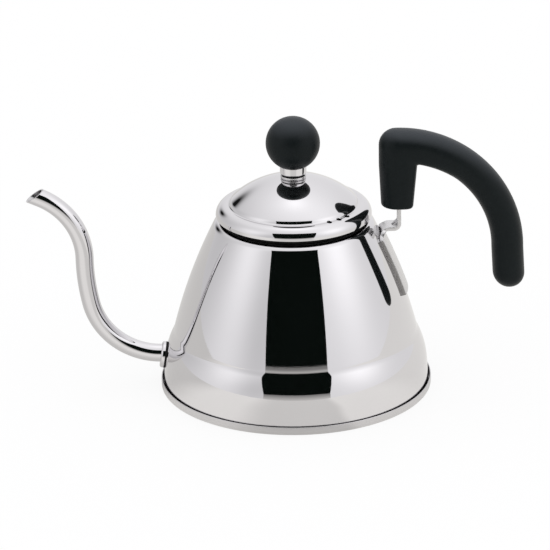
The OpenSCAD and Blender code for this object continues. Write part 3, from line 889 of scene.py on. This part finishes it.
# the hidden fixings keep their own meshes
keptFinishes = {"grip_screw": "fastener", "grip_spring_washer": "fastener", "grip_insert": "brass",
                "knob_insert": "brass", "knob_screw": "fastener", "knob_spring_washer": "fastener",
                "knob_flat_washer": "fastener"}
for name, finish in keptFinishes.items():
    nodes[name].data.materials.clear()
    nodes[name].data.materials.append(materials[finish])
print("pieces made")

# stage: a white floor that keeps the shadow
floorFacts = {"half": 3.0, "diffuse": (0.96, 0.96, 0.96, 1), "seen": (1, 1, 1, 1),
              "mirrored": (1, 0.984, 0.95, 1), "whiteShare": 0.85, "frontShade": 0.24, "backShade": 0.12,
              "sideShade": 0.2}


# a four-cornered sheet with a material of its own
def sheet(name, corners, shader):
    mesh = bpy.data.meshes.new(name)
    mesh.from_pydata(corners, [], [(0, 1, 2, 3)])
    mesh.materials.append(shaderMaterial(name, shader))
    return makeObject(name, mesh)


# polished metal sees the floor a little greyer in front of the kettle and behind the spout
def floorShade(graph):
    across, along = graph.parts(graph.place())[:2]
    bearing = across / (0.0 - along).atLeast(0.01)
    front = bearing.between(0.56, 0.4) * bearing.between(-0.75, -0.25) * floorFacts["frontShade"]
    distance = (across * across + along * along).math("SQRT").atLeast(0.001)
    spoutSide = (across / distance).between(0.3, -0.3) * floorFacts["sideShade"]
    return front + (along / distance).between(-0.5, 0.0) * (floorFacts["backShade"] + spoutSide)


def floorShader(graph):
    mirrored = graph.lightPath(3)
    seen = (graph.lightPath(0) + mirrored + graph.lightPath(6)).math("MINIMUM", 1.0)
    color = graph.mix(mirrored, floorFacts["seen"], floorFacts["mirrored"])
    white = graph.glowing(graph.mix(mirrored * floorShade(graph), color, (0, 0, 0, 1)))
    shares = {0: seen * floorFacts["whiteShare"], 1: graph.diffuse(floorFacts["diffuse"]), 2: white}
    return graph.node("ShaderNodeMixShader", {}, shares)


half = floorFacts["half"]
floor = sheet("floor", [(-half, -half, 0), (half, -half, 0), (half, half, 0), (-half, half, 0)], floorShader)

# the dark card that a polished body is shot against, and the dim gap between it and the floor
card = {"y": -1.5, "lowZ": 0.21, "lowHalf": 0.793, "highZ": 2.0, "highHalf": 1.186,
        "color": (0.0035, 0.0055, 0.0045, 1), "gapColor": (1, 0.985, 0.955, 1), "gapLow": 0.68,
        "gapHigh": 0.21}


# a sheet that only polished metal shows
def reflectedOnly(name, lowHalf, lowZ, highHalf, highZ, shader):
    y = card["y"]
    corners = [(-lowHalf, y, lowZ), (lowHalf, y, lowZ), (highHalf, y, highZ), (-highHalf, y, highZ)]
    made = sheet(name, corners, shader)
    made.visible_camera = False
    made.visible_diffuse = False
    made.visible_shadow = False
    made.visible_transmission = False
    return made


def cardShader(graph):
    return graph.diffuse(card["color"])


# the gap is lighter toward the floor
def gapShader(graph):
    height = graph.parts(graph.place())[2]
    fall = card["gapLow"] - height * ((card["gapLow"] - card["gapHigh"]) / card["lowZ"])
    return graph.glowing(graph.mix(fall, (0, 0, 0, 1), card["gapColor"]))


darkCard = reflectedOnly("card", card["lowHalf"], card["lowZ"], card["highHalf"], card["highZ"], cardShader)
dimGap = reflectedOnly("gap", card["lowHalf"], 0.0, card["lowHalf"], card["lowZ"], gapShader)
print("stage set")

# the room's light as a sum of soft lobes: azimuth from the front towards +X, elevation, sharpness, strength
room = {"level": 0.985, "least": 0.01, "tint": (1.0, 0.996, 1.012),
        "lobes": [(-146, 17, 75, -0.92), (180, 80, 9, 0.14), (180, 60, 3, 0.09), (176, 78, 60, 0.2),
                  (-62, 26, 14, 0.33), (62, 28, 14, 0.4), (-80, 50, 8, -0.05), (80, 55, 8, 0.13),
                  (-120, 15, 5, -0.25), (110, 10, 4, -0.07), (-150, 0, 4, -0.09), (150, 0, 4, -0.04),
                  (-40, 15, 10, -0.31), (40, 10, 10, -0.05)]}
world = bpy.data.worlds.new("room")
bpy.context.scene.world = world
world.use_nodes = True
roomGraph = Graph(world.node_tree)
look = roomGraph.node("ShaderNodeTexCoord", output=0)
glow = room["level"]
for azimuth, elevation, sharp, strength in room["lobes"]:
    axis = (sinD(azimuth) * cosD(elevation), -cosD(azimuth) * cosD(elevation), sinD(elevation))
    glow = glow + (roomGraph.vector("DOT_PRODUCT", look, axis, output=1).atLeast(0.0) ** sharp) * strength
glow = glow.atLeast(room["least"])
tone = roomGraph.node("ShaderNodeCombineColor", {}, {i: glow * share for i, share in enumerate(room["tint"])})
background = roomGraph.node("ShaderNodeBackground", {}, {"Color": tone, "Strength": 1.0})
roomGraph.node("ShaderNodeOutputWorld", {}, {"Surface": background})

# camera: a long lens from a little above
shot = {"target": (-11.23, 0.0, 65.45), "distance": 2000.0, "elevation": 21.732, "roll": -0.972,
        "lens": 229.74, "sensor": 36.0, "clipStart": 0.01}
cameraData = bpy.data.cameras.new("camera")
cameraData.lens = shot["lens"]
cameraData.sensor_width = shot["sensor"]
cameraData.clip_start = shot["clipStart"]
camera = makeObject("camera", cameraData)
back = Vector((0, -cosD(shot["elevation"]), sinD(shot["elevation"])))
right = Vector((1, 0, 0))
up = back.cross(right)
rightRolled = right * cosD(shot["roll"]) + up * sinD(shot["roll"])
upRolled = up * cosD(shot["roll"]) - right * sinD(shot["roll"])
spot = (Vector(shot["target"]) + back * shot["distance"]) * mm
camera.matrix_world = Matrix.Translation(spot) @ Matrix((rightRolled, upRolled, back)).transposed().to_4x4()
bpy.context.scene.camera = camera
bpy.context.scene.view_settings.view_transform = "Standard"
print("camera placed")
